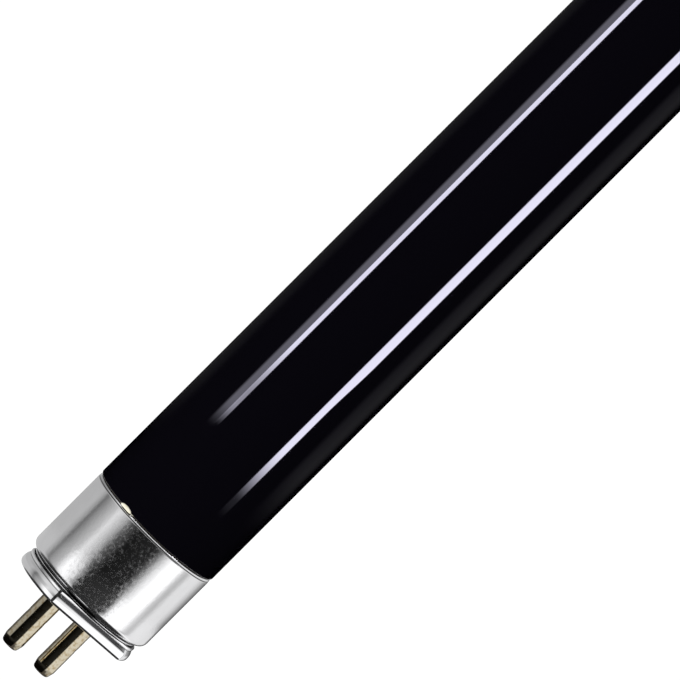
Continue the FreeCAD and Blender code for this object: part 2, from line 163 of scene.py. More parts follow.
class Finish:
    """The node tree of a material or of the world."""

    def __init__(self, owner):
        owner.use_nodes = True
        self.owner = owner
        self.tree = owner.node_tree
        self.tree.nodes.clear()

    def node(self, kind, settings=(), sockets=(), output=0):
        """Adds a node, gives it its settings and then its sockets, and returns one output."""
        made = self.tree.nodes.new(kind)
        for name, setting in dict(settings).items():
            if name == "stops":
                self.set_stops(made.color_ramp, setting)
            else:
                setattr(made, name, setting)
        for name, given in dict(sockets).items():
            if isinstance(given, Signal):
                self.tree.links.new(given.socket, made.inputs[name])
            else:
                made.inputs[name].default_value = given
        return Signal(self, made.outputs[output]) if len(made.outputs) else made

    def set_stops(self, ramp, stops):
        """Gives a colour ramp its stops, as (place, grey level or colour)."""
        while len(ramp.elements) > 1:
            ramp.elements.remove(ramp.elements[-1])
        for number, (place, level) in enumerate(stops):
            stop = ramp.elements[0] if number == 0 else ramp.elements.new(place)
            stop.position = place
            colour = level if isinstance(level, tuple) else (level, level, level)
            stop.color = (*colour, 1.0)

    def smooth_step(self, value, low, high):
        """0 below low, 1 above high and smooth between, or falling where low is above high."""
        settings = {"interpolation_type": "SMOOTHSTEP"}
        return self.node("ShaderNodeMapRange", settings, {0: value, 1: low, 2: high})

    def mixed(self, factor, first, second):
        """One colour turned into another by a factor."""
        settings = {"data_type": "RGBA"}
        return self.node("ShaderNodeMix", settings, {0: factor, 6: first, 7: second}, output=2)


def new_finish(name):
    """A new material's tree, and the place on the piece that its patterns read."""
    finish = Finish(bpy.data.materials.new(name))
    return finish, finish.node("ShaderNodeTexCoord", output="Object")


def noise(finish, place, scale, detail, roughness=0.5):
    """A pattern of soft blobs, finer with its scale and richer with its detail."""
    sockets = {"Vector": place, "Scale": scale, "Detail": detail, "Roughness": roughness}
    return finish.node("ShaderNodeTexNoise", {}, sockets)


def surfaced(finish, sockets):
    """Ends a material in a Principled shader."""
    shader = finish.node("ShaderNodeBsdfPrincipled", {}, sockets)
    finish.node("ShaderNodeOutputMaterial", {}, {"Surface": shader})
    print(f"{finish.owner.name}: {len(finish.tree.nodes)} nodes")
    return finish.owner


print("helpers: Signal, Finish, new_finish, noise, surfaced")


# %% [markdown]
# ## Turned and drawn forms
#
# Almost everything on the lamp is round: glass is drawn through dies, pins are turned and caps are
# pressed over punches. A lathe does the same with a profile, and so does Blender's spin. The
# profile is one vertex extruded from corner to corner, with its corners rounded by bevel.
# Each cap is drawn in a frame of its own: its end face at X = 0, its pins towards -X and the tube
# towards +X. A turn by half a circle about Z carries it to the lamp's other end.

# %% Drawing helpers
HALF_TURN = Matrix.Rotation(math.pi, 4, "Z")
# How near two vertices are when they count as one, and what an edge turns to count as sharp.
WELD = 1e-4
SHARP_ANGLE = math.radians(35.0)
ROUND_SEGMENTS = 6
SIDES = ("left", "right")
LEVELS = (("upper", 1.0), ("lower", -1.0))


def drawn_profile(bm, corners, closed=False):
    """Draws a profile through corners (along, out) or (along, out, rounding)."""
    line = []
    for corner in corners:
        if line:
            vert = bmesh.ops.extrude_vert_indiv(bm, verts=[line[-1]])["verts"][0]
        else:
            vert = bmesh.ops.create_vert(bm, co=(0.0, 0.0, 0.0))["vert"][0]
        vert.co = (corner[0], corner[1], 0.0)
        line.append(vert)
    if closed:
        bmesh.ops.contextual_create(bm, geom=[line[-1], line[0]])
    for vert, corner in list(zip(line, corners)):
        if len(corner) == 3:
            bmesh.ops.bevel(
                bm,
                geom=[vert],
                offset=corner[2],
                offset_type="OFFSET",
                segments=ROUND_SEGMENTS,
                profile=0.5,
                affect="VERTICES",
                material=-1,
            )


def rounded_line(corners):
    """The places (along, out) along a profile, in order, once its corners are rounded."""
    bm = bmesh.new()
    drawn_profile(bm, corners)
    ends = [vert for vert in bm.verts if len(vert.link_edges) == 1]
    first = Vector((corners[0][0], corners[0][1], 0.0))
    here = min(ends, key=lambda vert: (vert.co - first).length)
    walked = [here]
    while len(walked) < len(bm.verts):
        beside = [edge.other_vert(here) for edge in here.link_edges]
        here = [vert for vert in beside if vert not in walked][0]
        walked.append(here)
    places = [(vert.co.x, vert.co.y) for vert in walked]
    bm.free()
    return places


def spun(bm, steps):
    """Turns what is drawn once round X and closes its seam and poles."""
    bmesh.ops.spin(
        bm,
        geom=bm.verts[:] + bm.edges[:],
        cent=(0.0, 0.0, 0.0),
        axis=(1.0, 0.0, 0.0),
        angle=math.tau,
        steps=steps,
        use_merge=True,
    )
    bmesh.ops.remove_doubles(bm, verts=bm.verts[:], dist=WELD)
    bmesh.ops.recalc_face_normals(bm, faces=bm.faces[:])


def moved_to_end(bm, side, up=0.0):
    """Carries a mesh from its cap's frame to one end of the lamp."""
    if side == "right":
        bmesh.ops.transform(bm, matrix=HALF_TURN, verts=bm.verts[:])
    along = END_FACE if side == "right" else -END_FACE
    bmesh.ops.translate(bm, vec=(along, 0.0, up), verts=bm.verts[:])


def new_piece(name, bm, material, nodes):
    """Makes a piece of a mesh drawn in millimetres, in place of CAD nodes."""
    bmesh.ops.scale(bm, vec=(MM, MM, MM), verts=bm.verts[:])
    for face in bm.faces:
        face.smooth = True
    for edge in bm.edges:
        edge.smooth = len(edge.link_faces) == 2 and edge.calc_face_angle() < SHARP_ANGLE
    mesh = bpy.data.meshes.new(name)
    bm.to_mesh(mesh)
    bm.free()
    mesh.materials.append(material)
    piece = bpy.data.objects.new(name, mesh)
    bpy.context.scene.collection.objects.link(piece)
    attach(piece, "root")
    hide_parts(*nodes)
    print(f"{name}: {len(mesh.polygons)} faces")
    return piece


print(f"a rounding gets {ROUND_SEGMENTS} steps")

# %% [markdown]
# ## The black glass
#
# Filter glass of this kind looks black: it swallows daylight and only its polished skin shows.
# A nearly black base under a clear gloss does that. What makes it read as glass is what it
# mirrors, and the faint violet of the glass lies on those reflections, as a constant tint.

# %% Glass finish
GLASS_BASE = (0.0022, 0.0019, 0.0034, 1.0)
GLASS_TINT = (0.83, 0.81, 1.0, 1.0)
GLASS_IOR = 1.52
SMEAR_SCALE = 90.0


def glass_finish():
    finish, place = new_finish("black_glass")
    smears = noise(finish, place, SMEAR_SCALE, 3.0)
    return surfaced(
        finish,
        {
            "Base Color": GLASS_BASE,
            "Roughness": finish.smooth_step(smears, 0.35, 0.8) * 0.02 + 0.03,
            "IOR": GLASS_IOR,
            "Specular Tint": GLASS_TINT,
        },
    )


black_glass = glass_finish()

# %% [markdown]
# ## The glass tube
#
# The tube is one sealed bulb. Its ends are necked down so that the caps slide over them, and they
# are closed inside the caps. One profile from end to end, spun about the axis, is enough. The
# shoulders beside the rims are the only edges of it that show, so they are rounded.

# %% Glass tube
NECK_RADIUS = TUBE_RADIUS - 0.7
CAP_LENGTH = 12.5
JOINT = CAP_LENGTH + 0.1
NECK_START = 4.2
NECK_ROUNDING = 1.6
SHOULDER_ROUNDING = 0.2
GLASS_STEPS = 192


def make_glass():
    bm = bmesh.new()
    shoulder = END_FACE - JOINT
    closed_end = END_FACE - NECK_START
    drawn_profile(
        bm,
        [
            (-closed_end, 0.0),
            (-closed_end, NECK_RADIUS, NECK_ROUNDING),
            (-shoulder, NECK_RADIUS),
            (-shoulder, TUBE_RADIUS, SHOULDER_ROUNDING),
            (shoulder, TUBE_RADIUS, SHOULDER_ROUNDING),
            (shoulder, NECK_RADIUS),
            (closed_end, NECK_RADIUS, NECK_ROUNDING),
            (closed_end, 0.0),
        ],
    )
    spun(bm, GLASS_STEPS)
    return new_piece("tube_glass", bm, black_glass, ["glass_tube"])


glass = make_glass()

# %% [markdown]
# ## Satin aluminium
#
# The caps are drawn from soft sheet and left as they come from the press: bright, but with a fine
# grain that scatters the mirrored lamps. The grain is a bump of small blobs, so that it shows
# where a dark reflection meets a bright one, as on the real metal. Shade is painted into the
# colour as near-black at the bottom of the groove, at the foot of the rolled corner, in the rim's
# crease and in a valley of the end portion. Masks that are worked out from the distance along the
# cap and out from its axis put this painted shade there.

# %% Cap sizes
SHEET = 0.35
SKIRT_RADIUS = TUBE_RADIUS - 0.04
GROOVE_RADIUS = SKIRT_RADIUS - 0.9
END_RADIUS = SKIRT_RADIUS - 0.36
HALF_FLATS = END_RADIUS - 2.1
END_THICKNESS = 1.8
CORNER_FOOT = END_THICKNESS + 0.45
VALLEY = 1.44
LIP_START = CAP_LENGTH - 0.19
CREASE_START = LIP_START - 0.17
print(f"cap: skirt radius {SKIRT_RADIUS:.2f} mm, groove {GROOVE_RADIUS:.2f}, end {END_RADIUS:.2f}")

# %% Aluminium finish
ALUMINIUM_LIGHT = (0.84, 0.84, 0.85, 1.0)
ALUMINIUM_DARK = (0.76, 0.76, 0.77, 1.0)
# The near-black of the painted shade in the groove, at the corner's foot, in the crease and valley.
PAINTED_SHADE = (0.05, 0.05, 0.052, 1.0)
GRAIN_SCALE = 2500.0
CLOUD_SCALE = 700.0
DULL_SCALE = 2900.0
GRAIN_DEPTH = 0.00003


def aluminium_finish():
    finish, place = new_finish("cap_aluminium")
    parts = finish.node("ShaderNodeSeparateXYZ", {}, {"Vector": place})
    along = END_FACE - abs(parts.output("X")) / MM
    sideways = parts.output("Y") / MM
    upwards = parts.output("Z") / MM
    out = (sideways * sideways + upwards * upwards).maths("SQRT")

    def between(low, high, blur=0.06):
        """1 on a stretch of the cap, blurred at both of its ends."""
        behind = finish.smooth_step(along, low - blur, low)
        return behind * finish.smooth_step(along, high + blur, high)

    # Masks of painted shade: the groove's floor, the corner's foot, the rim's crease and the
    # valley.
    groove = between(END_THICKNESS, CORNER_FOOT) * finish.smooth_step(
        out, GROOVE_RADIUS + 0.08, GROOVE_RADIUS + 0.02
    )
    foot = between(CORNER_FOOT - 0.05, CORNER_FOOT + 0.12) * finish.smooth_step(
        out, GROOVE_RADIUS + 0.62, GROOVE_RADIUS + 0.45
    )
    crease = between(CREASE_START + 0.04, LIP_START - 0.02, 0.03)
    valley = between(VALLEY - 0.03, VALLEY + 0.01, 0.05)
    painted_shade = (groove + foot + crease * 0.9 + valley * 0.7).maths("MINIMUM", 1.0)

    grain = noise(finish, place, GRAIN_SCALE, 3.0)
    cloud = noise(finish, place, CLOUD_SCALE, 3.0)
    dull = noise(finish, place, DULL_SCALE, 6.0, roughness=0.65)
    skirt = finish.smooth_step(along, CORNER_FOOT, CORNER_FOOT + 0.6)
    # The side of the skirt that fingers rub is scuffed most.
    belt = finish.smooth_step(upwards, 7.0, 5.8) * finish.smooth_step(upwards, -1.0, 1.5)
    handled = (belt * 0.85 + 0.15) * skirt
    relief = {"Strength": 0.25, "Distance": GRAIN_DEPTH, "Height": grain * skirt}
    bump = finish.node("ShaderNodeBump", {}, relief)
    own_tone = finish.mixed(cloud, ALUMINIUM_DARK, ALUMINIUM_LIGHT)
    return surfaced(
        finish,
        {
            # The metal's colour with shade painted into the groove, crease, valley and the corner's
            # foot.
            "Base Color": finish.mixed(painted_shade, own_tone, PAINTED_SHADE),
            "Metallic": 1.0,
            "Roughness": finish.smooth_step(dull, 0.36, 0.80) * handled * 0.37 + 0.09,
            "Normal": bump,
        },
    )


cap_aluminium = aluminium_finish()

# %% [markdown]
# ## The cap shell
#
# The cap is one piece of thin sheet. Its front is a disc with two flats, so that it can't turn in
# the holder, with a lip turned in round the plate. Its back slopes down to a groove with a fine
# bead, and behind that come the rolled corner, the long skirt and a small lip at the rim.
#
# Solidify would give a skin its wall, but it tangles inside such small folds, so both walls are
# drawn. The end portion is a stack of flatted outlines, each made by sweeping one vertex along
# flats and round arcs, a little smaller where the profile falls back, and bridged to the next.
# Smaller outlines keep their corners, so the crease between arc and flat stays crisp, which a
# bevel would have rounded off. From there on the ring of edges is extruded along the cap and
# pushed out to circles, turns at the rim and comes back inside to the opening for the plate.

# %% Flatted outline
FLAT_CORNER = 0.5
FLAT_CUTS = 19
CORNER_STEPS = 8
ARC_STEPS = 48
OUTLINE_STEPS = 2 * (FLAT_CUTS + 1 + 2 * CORNER_STEPS + ARC_STEPS)
print(f"each outline has {OUTLINE_STEPS} edges")


def swept(bm, vert, centre, angle, steps):
    """Sweeps a vertex round a centre in its own plane and returns where it ends."""
    made = bmesh.ops.spin(
        bm, geom=[vert], cent=(vert.co.x, *centre), axis=(1.0, 0.0, 0.0), angle=angle, steps=steps
    )
    return [item for item in made["geom_last"] if isinstance(item, bmesh.types.BMVert)][0]


def flatted_outline(bm, along, inset):
    """Draws the end portion's outline, smaller by an inset, and returns its edges."""
    already = set(bm.edges)
    radius = END_RADIUS - inset
    across = HALF_FLATS - inset - FLAT_CORNER
    rise = math.sqrt((radius - FLAT_CORNER) ** 2 - across**2)
    turn = math.atan2(rise, across)
    flat = across + FLAT_CORNER
    vert = bmesh.ops.create_vert(bm, co=(along, flat, -rise))["vert"][0]
    flats = []
    for way in (1.0, -1.0):
        end = bmesh.ops.extrude_vert_indiv(bm, verts=[vert])
        end["verts"][0].co = (along, way * flat, way * rise)
        flats += end["edges"]
        vert = swept(bm, end["verts"][0], (way * across, way * rise), turn, CORNER_STEPS)
        vert = swept(bm, vert, (0.0, 0.0), math.pi - 2.0 * turn, ARC_STEPS)
        vert = swept(bm, vert, (-way * across, way * rise), turn, CORNER_STEPS)
    bmesh.ops.subdivide_edges(bm, edges=flats, cuts=FLAT_CUTS)
    drawn = {vert for edge in set(bm.edges) - already for vert in edge.verts}
    bmesh.ops.remove_doubles(bm, verts=list(drawn), dist=WELD)
    return list(set(bm.edges) - already)


# %% Cap profiles
OPENING_INSET = 1.35
POCKET_INSET = 0.42 + SHEET
# The end portion's profile as (along, how far in), from the plate's opening to the groove.
END_PROFILE = [
    (0.0, OPENING_INSET),
    (0.0, 0.0, 0.45),
    (0.95, 0.0, 0.26),
    (VALLEY, 0.27, 0.03),
    (VALLEY + 0.08, 0.20, 0.03),
    (VALLEY + 0.28, 0.18, 0.04),
    (END_THICKNESS, 0.26, 0.03),
    (END_THICKNESS, 0.42),
]
BEAD_START = END_THICKNESS + 0.1
# The rest of the outside as (along, out), from the groove over the corner to the rim.
SKIRT_PROFILE = [
    (END_THICKNESS, GROOVE_RADIUS),
    (BEAD_START, GROOVE_RADIUS),
    (BEAD_START + 0.13, GROOVE_RADIUS + 0.15, 0.08),
    (BEAD_START + 0.26, GROOVE_RADIUS),
    (CORNER_FOOT, GROOVE_RADIUS),
    (CORNER_FOOT, SKIRT_RADIUS, 0.88),
    (CREASE_START, SKIRT_RADIUS, 0.05),
    (CREASE_START + 0.08, SKIRT_RADIUS - 0.08, 0.03),
    (LIP_START, SKIRT_RADIUS - 0.01, 0.03),
    (CAP_LENGTH - 0.01, SKIRT_RADIUS - 0.16, 0.02),
    (CAP_LENGTH, SKIRT_RADIUS - 0.19),
]
# The inside as (along, out), from the rim back to the throat.
THROAT_END = END_THICKNESS + SHEET
INSIDE_PROFILE = [
    (CAP_LENGTH, SKIRT_RADIUS - SHEET),
    (CORNER_FOOT + SHEET, SKIRT_RADIUS - SHEET, 0.4),
    (CORNER_FOOT + SHEET, GROOVE_RADIUS - SHEET),
    (THROAT_END, GROOVE_RADIUS - SHEET),
]
# The pocket that holds the plate, as (along, how far in).
POCKET_PROFILE = [
    (THROAT_END, POCKET_INSET),
    (SHEET, POCKET_INSET),
    (SHEET, OPENING_INSET),
]
print(f"corners drawn: {len(END_PROFILE + SKIRT_PROFILE + INSIDE_PROFILE + POCKET_PROFILE)}")


# %% Cap shells
def next_ring(bm, edges, along, radius):
    """Extrudes a ring of edges to a place along the cap, pushed onto a circle."""
    made = bmesh.ops.extrude_edge_only(bm, edges=edges)["geom"]
    new_verts = [item for item in made if isinstance(item, bmesh.types.BMVert)]
    for vert in new_verts:
        pull = radius / math.hypot(vert.co.y, vert.co.z)
        vert.co = (along, vert.co.y * pull, vert.co.z * pull)
    new_edges = [item for item in made if isinstance(item, bmesh.types.BMEdge)]
    return [edge for edge in new_edges if all(vert in new_verts for vert in edge.verts)]


def bridged(bm, rings):
    """Bridges rings of edges one after another."""
    for ring, following in zip(rings, rings[1:]):
        bmesh.ops.bridge_loops(bm, edges=ring + following)


def make_shell(side):
    bm = bmesh.new()
    front = [flatted_outline(bm, *place) for place in rounded_line(END_PROFILE)]
    pocket = [flatted_outline(bm, *place) for place in POCKET_PROFILE]
    ring = front[-1]
    for along, radius in rounded_line(SKIRT_PROFILE) + rounded_line(INSIDE_PROFILE):
        ring = next_ring(bm, ring, along, radius)
    bridged(bm, front)
    bridged(bm, [ring] + pocket + [front[0]])
    bmesh.ops.recalc_face_normals(bm, faces=bm.faces[:])
    moved_to_end(bm, side)
    return new_piece(f"{side}_shell", bm, cap_aluminium, [f"{side}_cap_shell"])


shells = [make_shell(side) for side in SIDES]

# %% [markdown]
# ## Brass pins
#
# The pins are turned from thin brass tube, nickel-bright once and now dulled to straw, and are
# crimped onto the lead wires inside them. Tarnish gathers in small spots, so the colour changes
# by a noise, and the colour is darker at the tips and on the upper side of each taper.

# %% Brass finish
PIN_UP = 2.375
BRASS_LIGHT = (0.88, 0.80, 0.62, 1.0)
BRASS_DARK = (0.58, 0.45, 0.26, 1.0)
# The darker colour at the pin tips and on the upper side of each taper.
TIP_DARK = (0.07, 0.055, 0.04, 1.0)
SPOT_SCALE = 2600.0


def brass_finish():
    finish, place = new_finish("pin_brass")
    parts = finish.node("ShaderNodeSeparateXYZ", {}, {"Vector": place})
    beyond = abs(parts.output("X")) / MM - END_FACE
    spots = noise(finish, place, SPOT_SCALE, 3.0)
    tarnish = finish.smooth_step(spots, 0.42, 0.72)
    height = parts.output("Z") / MM
    height = height - height.maths("SIGN") * PIN_UP
    upper_side = finish.smooth_step(height + spots * 0.5, -0.2, 0.3)
    tip = finish.smooth_step(beyond + spots * 0.4, PIN_TIP - 0.1, PIN_TIP + 0.1)
    taper = finish.smooth_step(beyond + spots * 0.4, PIN_TIP - 0.75, PIN_TIP - 0.35)
    # The tips and the upper side of each taper are darker in colour.
    tip_darkening = (tip + taper * upper_side).maths("MINIMUM", 0.95)
    own_tone = finish.mixed(tarnish, BRASS_LIGHT, BRASS_DARK)
    return surfaced(
        finish,
        {
            "Base Color": finish.mixed(tip_darkening, own_tone, TIP_DARK),
            "Metallic": 1.0,
            "Roughness": tarnish * 0.04 + 0.09,
        },
    )


pin_brass = brass_finish()

# %% [markdown]
# A pin could be a cylinder with its end tapered, but a turned part is one profile: from the hole in
# its tip over the rounded edge and the taper, past the shallow crimp to the shoulder on the plate,
# and back through the bore. The profile is closed, and one spin makes the hollow pin.

# %% Pins
PIN_RADIUS = 1.18
CRIMPED_RADIUS = PIN_RADIUS - 0.02
SHANK_RADIUS = 1.0
COLLAR_RADIUS = 1.8
BORE_RADIUS = 0.7
TIP_HOLE_RADIUS = 0.22
TAPER_START = -PIN_TIP + 0.9
# The plate's two faces, the collar behind it and the end of the pin, inside the cap.
PLATE_FRONT = 0.08
PLATE_BACK = 2.7
COLLAR_BACK = PLATE_BACK + 0.45
PIN_BACK = PLATE_BACK + 1.25
PIN_STEPS = 64


def make_pin(side, level, way):
    bm = bmesh.new()
    drawn_profile(
        bm,
        [
            (-PIN_TIP, TIP_HOLE_RADIUS, 0.05),
            (-PIN_TIP, 0.95, 0.25),
            (TAPER_START, PIN_RADIUS, 0.12),
            (-3.25, PIN_RADIUS, 0.05),
            (-3.0, CRIMPED_RADIUS, 0.05),
            (-2.8, CRIMPED_RADIUS, 0.05),
            (-2.55, PIN_RADIUS, 0.05),
            (PLATE_FRONT, PIN_RADIUS),
            (PLATE_FRONT, SHANK_RADIUS),
            (PLATE_BACK, SHANK_RADIUS),
            (PLATE_BACK, COLLAR_RADIUS),
            (COLLAR_BACK, COLLAR_RADIUS),
            (COLLAR_BACK, SHANK_RADIUS),
            (PIN_BACK, SHANK_RADIUS),
            (PIN_BACK, BORE_RADIUS),
            (TAPER_START, BORE_RADIUS),
            (-PIN_TIP + 0.5, TIP_HOLE_RADIUS),
        ],
        closed=True,
    )
    spun(bm, PIN_STEPS)
    moved_to_end(bm, side, way * PIN_UP)
    node = f"{side}_{level}_pin"
    return new_piece(f"{side}_{level}_contact", bm, pin_brass, [node])


pins = [make_pin(side, level, way) for side in SIDES for level, way in LEVELS]

# %% [markdown]
# ## Plates, cement and leads
#
# The moulded plates, the cement rings and the lead wires show only in slits and from the ends, so
# the CAD pieces stay and get their finishes: brown phenolic with fine flow marks, cement and
# drawn nickel wire. The cement's line in the joint is painted near-black, as painted shade in the
# slit between rim and glass. Only the drop that squeezed out keeps the cement's cream, so a mask by
# the distance from the drop tells them apart.

# %% Plate finish
PLATE_DARK = (0.085, 0.04, 0.022, 1.0)
PLATE_LIGHT = (0.17, 0.09, 0.05, 1.0)
FLOW_SCALE = 900.0


def plate_finish():
    finish, place = new_finish("moulded_plate")
    flow = noise(finish, place, FLOW_SCALE, 5.0)
    return surfaced(
        finish,
        {
            "Base Color": finish.mixed(flow, PLATE_DARK, PLATE_LIGHT),
            "Roughness": flow * 0.2 + 0.35,
        },
    )


# %% Cement finish
CEMENT_DARK = (0.86, 0.80, 0.58, 1.0)
CEMENT_LIGHT = (0.97, 0.95, 0.84, 1.0)
# The near-black of the shade painted on the cement in the joint's slit.
JOINT_SHADE = (0.055, 0.048, 0.040, 1.0)
CHALK_SCALE = 3000.0
# Where the drop of cement lies at the left rim, and the distances at which its unshaded patch ends
# and the painted shade begins.
DROP_TURN = math.radians(37.0)
DROP_OUT = 7.9
DROP_SIDEWAYS = -DROP_OUT * math.sin(DROP_TURN)
DROP_PLACE = Vector((JOINT - END_FACE, DROP_SIDEWAYS, DROP_OUT * math.cos(DROP_TURN))) * MM
UNSHADED_REACH = 0.0009
SHADE_REACH = 0.0012


def cement_finish():
    finish, place = new_finish("cap_cement")
    from_drop = finish.node(
        "ShaderNodeVectorMath", {"operation": "DISTANCE"}, {0: place, 1: DROP_PLACE}, output="Value"
    )
    # Painted shade: all the cement but the drop is darkened, as the slit of the joint.
    joint_shaded = finish.smooth_step(from_drop, UNSHADED_REACH, SHADE_REACH)
    chalk = noise(finish, place, CHALK_SCALE, 4.0)
    relief = {"Strength": 0.3, "Distance": GRAIN_DEPTH, "Height": chalk}
    bump = finish.node("ShaderNodeBump", {}, relief)
    cement_tone = finish.mixed(chalk, CEMENT_DARK, CEMENT_LIGHT)
    return surfaced(
        finish,
        {
            "Base Color": finish.mixed(joint_shaded, cement_tone, JOINT_SHADE),
            "Roughness": 0.75,
            "Normal": bump,
        },
    )


# %% Lead finish
WIRE_DARK = (0.55, 0.53, 0.50, 1.0)
WIRE_LIGHT = (0.70, 0.68, 0.64, 1.0)
DRAWN_SCALE = 2000.0


def lead_finish():
    finish, place = new_finish("lead_wire")
    drawn = noise(finish, place, DRAWN_SCALE, 2.0)
    return surfaced(
        finish,
        {
            "Base Color": finish.mixed(drawn, WIRE_DARK, WIRE_LIGHT),
            "Metallic": 1.0,
            "Roughness": drawn * 0.2 + 0.2,
        },
    )


# %% Nodes that stay
NODE_FINISHES = {
    "insulating_plate": plate_finish(),
    "cement_ring": cement_finish(),
    "upper_lead": lead_finish(),
}
NODE_FINISHES["lower_lead"] = NODE_FINISHES["upper_lead"]
for side in SIDES:
    for ending, material in NODE_FINISHES.items():
        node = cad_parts[f"{side}_{ending}"]
        node.data.materials.clear()
        node.data.materials.append(material)
        print(f"{node.name}: {material.name}")

# %% [markdown]
# Where the photograph looks into the joint, a thread of cement shows, and one drop of it was
# squeezed out over the rim. A ball pressed flat between two walls has that shape: an icosphere is
# scaled, and whatever of it would lie in the glass or in the lip is pushed out to their surfaces.

# %% Cement at the left rim
CEMENT_DEPTH = 6.0
CEMENT_GAP = 0.005
CEMENT_STEPS = 96
DROP_SIZE = (0.28, 0.8, 0.22)


def make_left_cement(finish):
    """The ring of cement in the joint, and the drop of it that lies on the glass."""
    bm = bmesh.new()
    skirt_inside = SKIRT_RADIUS - SHEET
    drawn_profile(
        bm,
        [
            (CEMENT_DEPTH, NECK_RADIUS),
            (JOINT - CEMENT_GAP, NECK_RADIUS),
            (JOINT - CEMENT_GAP, skirt_inside + 0.1),
            (CAP_LENGTH + CEMENT_GAP, skirt_inside + 0.1),
            (CAP_LENGTH + CEMENT_GAP, skirt_inside - 0.02),
            (CEMENT_DEPTH, skirt_inside - 0.02),
        ],
        closed=True,
    )
    spun(bm, CEMENT_STEPS)
    drop = bmesh.ops.create_icosphere(bm, subdivisions=4, radius=1.0)["verts"]
    bmesh.ops.scale(bm, vec=DROP_SIZE, verts=drop)
    bmesh.ops.translate(bm, vec=(JOINT, 0.0, TUBE_RADIUS), verts=drop)
    for vert in drop:
        vert.co.x = max(vert.co.x, CAP_LENGTH + 0.01)
        out = math.hypot(vert.co.y, vert.co.z)
        lift = max(out, TUBE_RADIUS + 0.004) / out
        vert.co.y *= lift
        vert.co.z *= lift
    turn = Matrix.Rotation(DROP_TURN, 3, "X")
    bmesh.ops.rotate(bm, cent=(0.0, 0.0, 0.0), matrix=turn, verts=drop)
    bmesh.ops.dissolve_degenerate(bm, edges=bm.edges[:], dist=0.001)
    bmesh.ops.recalc_face_normals(bm, faces=bm.faces[:])
    moved_to_end(bm, "left")
    return new_piece("left_rim_cement", bm, finish, ["left_cement_ring"])


rim_cement = make_left_cement(NODE_FINISHES["cement_ring"])

# %% [markdown]
# ## What the lamp mirrors
#
# Black glass and bright metal show hardly any colour of their own: they show the room. In a
# photographer's shop that room is a small tent of white cards, dark gaps and lamps. Here it is a
# tube of light round the lamp that only mirror rays can see, and it glows by its angle round the
# lamp and its place along it. Metal gives back four fifths of what it mirrors and glass only a
# twentieth, so each has a tent of its own: soft cards for the metal, two bright strips for the
# glass. Light linking says which pieces each tent lights, and the inner tent is clear as well as
# bright, so that the glass sees past it to the outer one.

# %% Tent helpers
TENT_LENGTH = 0.9
TENT_SIDES = 128


def new_tent(name, radius, finish, mirrored_by):
    """A tube of light round the lamp that shows only as a reflection in some pieces."""
    bm = bmesh.new()
    bmesh.ops.create_cone(
        bm, cap_ends=False, segments=TENT_SIDES, radius1=radius, radius2=radius, depth=TENT_LENGTH
    )
    lengthwise = Matrix.Rotation(math.pi / 2, 3, "Y")
    bmesh.ops.rotate(bm, cent=(0.0, 0.0, 0.0), matrix=lengthwise, verts=bm.verts[:])
    mesh = bpy.data.meshes.new(name)
    bm.to_mesh(mesh)
    bm.free()
    finish.owner.cycles.emission_sampling = "NONE"
    mesh.materials.append(finish.owner)
    tent = bpy.data.objects.new(name, mesh)
    bpy.context.scene.collection.objects.link(tent)
    tent.visible_camera = False
    tent.visible_diffuse = False
    tent.visible_transmission = False
    tent.visible_shadow = False
    lit = bpy.data.collections.new(f"{name}_lights")
    for piece in mirrored_by:
        lit.objects.link(piece)
    tent.light_linking.receiver_collection = lit
    print(f"{name}: {len(mirrored_by)} pieces mirror it")


def tent_places(finish, place):
    """The angle round the lamp, 0 on the viewer's side and 90 overhead, and the reach in mm."""
    parts = finish.node("ShaderNodeSeparateXYZ", {}, {"Vector": place})
    angle = parts.output("Z").maths("ARCTAN2", -parts.output("Y")) * math.degrees(1.0)
    return angle, abs(parts.output("X")) / MM


# %% [markdown]
# Two strip lamps make the glass's bright lines. The lower one is crisp, and the upper one has a
# crisp core with a soft glow beside it. Both fade in where the photograph shows their ends, and
# each edge of a strip is one smooth step, of the angle or of the reach.

# %% Glass tent
GLASS_TENT_RADIUS = 0.0405
STRIP_LEVEL = 21.0


def glass_tent():
    finish, place = new_finish("glass_tent")
    angle, reach = tent_places(finish, place)

    def step(value, low, high):
        return finish.smooth_step(value, low, high)

    narrower = step(reach, 110.0, 118.0) * 3.2
    lower = step(angle - narrower, -35.0, -33.6) * step(angle, -20.4, -21.8)
    lower_start = step(reach, 131.4, 123.2) * 0.985 + step(reach, 134.0, 131.4) * 0.015
    core = step(angle, 65.0, 66.0) * step(angle, 72.2, 71.2)
    core_start = step(reach, 127.1, 123.7) * 0.35 + step(reach, 122.6, 114.1) * 0.65
    soft = step(angle, 70.0, 71.5) * step(angle, 84.0, 79.0)
    soft_start = step(reach, 127.6, 123.5)
    band = step(angle, -110.0, -82.0) * step(angle, -57.0, -70.0) * 0.13
    gleam = step(angle, 128.0, 150.0) * 0.035
    faint = (band + gleam) * step(reach, 133.0, 122.0)
    bright = lower * lower_start + core * core_start * 0.95 + soft * soft_start * 0.14
    light = finish.node("ShaderNodeEmission", {}, {"Strength": bright * STRIP_LEVEL + faint})
    finish.node("ShaderNodeOutputMaterial", {}, {"Surface": light})
    return finish


new_tent("glass_tent", GLASS_TENT_RADIUS, glass_tent(), [glass])

# %% [markdown]
# The metal's cards are drawn as a photographer would sketch them: so bright at this angle, so
# bright at that. A colour ramp holds each sketch. Surfaces that face along the lamp look further
# out or further in than the skirt does, so several rings of cards stand side by side.

